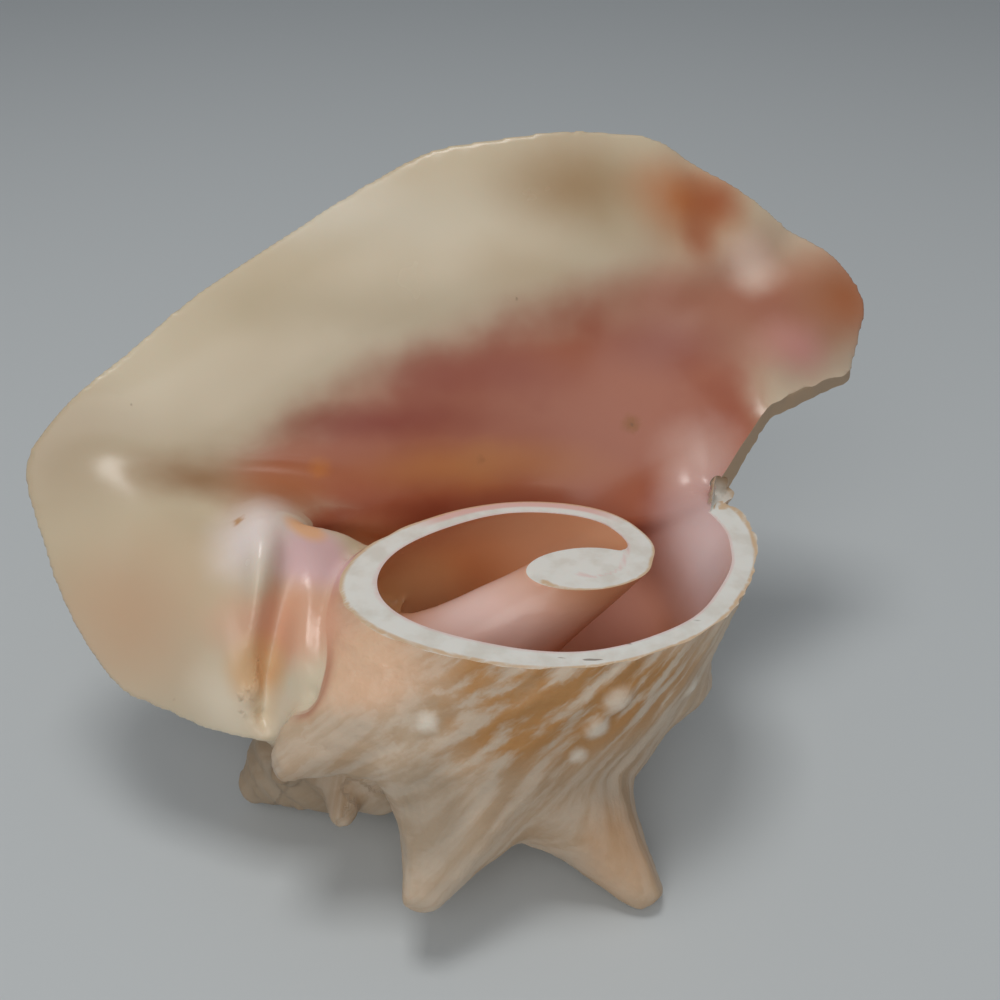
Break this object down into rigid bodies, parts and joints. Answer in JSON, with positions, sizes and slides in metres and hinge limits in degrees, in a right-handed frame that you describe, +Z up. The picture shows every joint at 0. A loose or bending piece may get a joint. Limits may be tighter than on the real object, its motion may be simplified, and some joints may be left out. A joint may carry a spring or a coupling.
{
  "type": "conch shell",
  "caption": "Sawn conch shell lying on its back, body whorl cut open level over the columella, flared lip standing behind it.",
  "frame": {"origin": "middle of the bounding box's base, on the surface that the shell lies on", "axes": "+Z up, +X from the spire towards the sawn front end, +Y back towards the flared lip"},
  "size_m": [0.2284, 0.1582, 0.1522],
  "materials": {
    "shell": "glossy glaze inside the lip, satin chalky outside, matt where sawn"
  },
  "bodies": {
    "root": {"conch_shell": "shell"}
  },
  "joints": []
}
